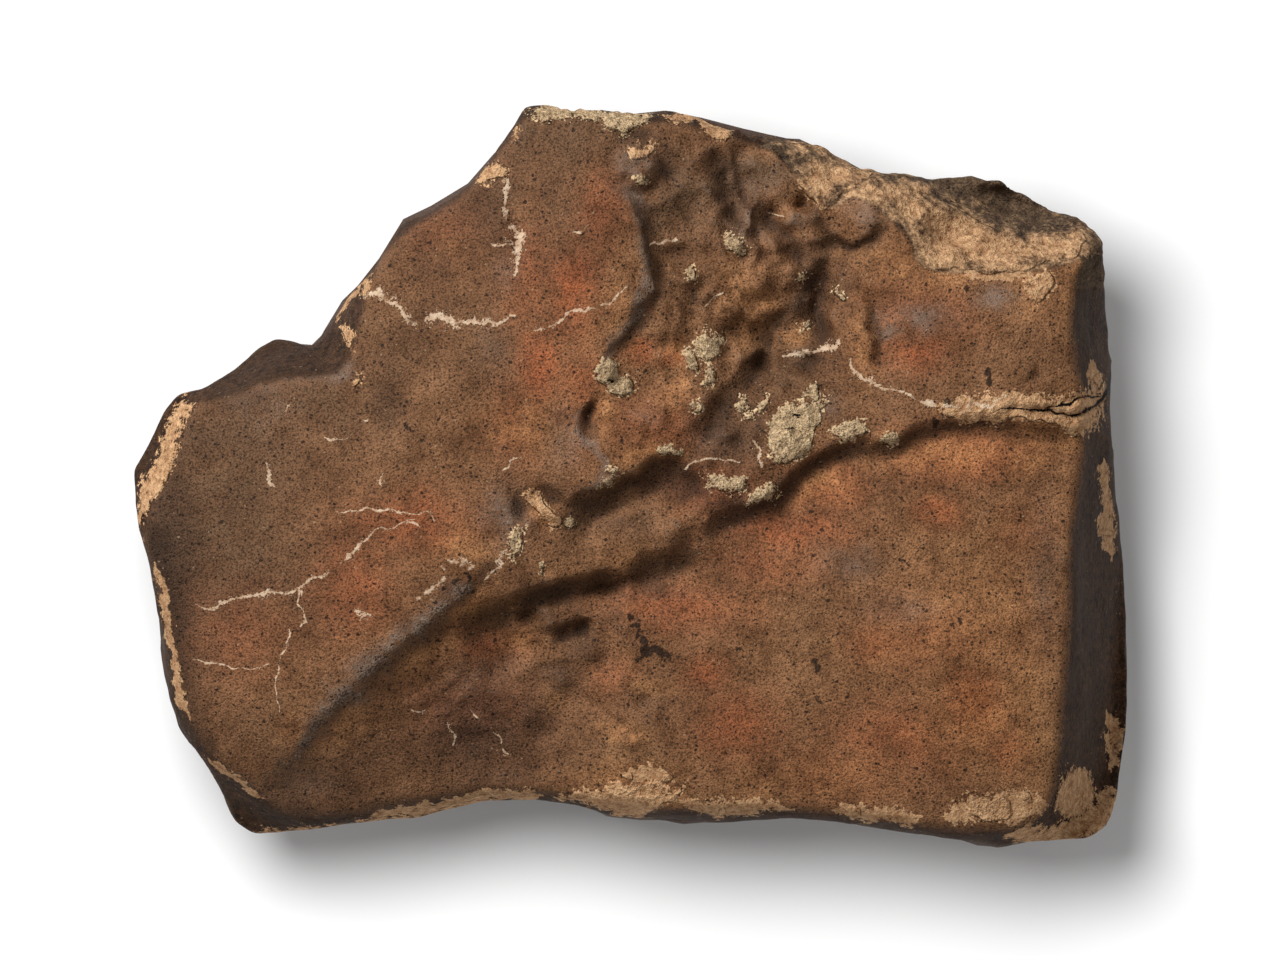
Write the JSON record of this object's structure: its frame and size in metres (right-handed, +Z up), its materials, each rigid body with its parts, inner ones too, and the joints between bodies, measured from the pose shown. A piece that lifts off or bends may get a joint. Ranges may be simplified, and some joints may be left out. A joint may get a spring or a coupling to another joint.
{
  "type": "martian meteorite",
  "caption": "Slab-like fragment of reddish brown martian rock with a smooth crusted front, ledges and gullies across it, a broken corner and a keeled back with a small flat spot to rest on.",
  "frame": {"origin": "middle of the bounding box at its lowest level, on the ground under the stone", "axes": "+X to the right and +Y to the top of the crusted front face as it is seen from above, +Z up out of the front face; the stone lies on its back"},
  "size_m": [0.375, 0.28, 0.152],
  "materials": {
    "stone": "matt fusion crust with a slight sheen"
  },
  "bodies": {
    "root": {"meteorite": "stone"}
  },
  "joints": []
}
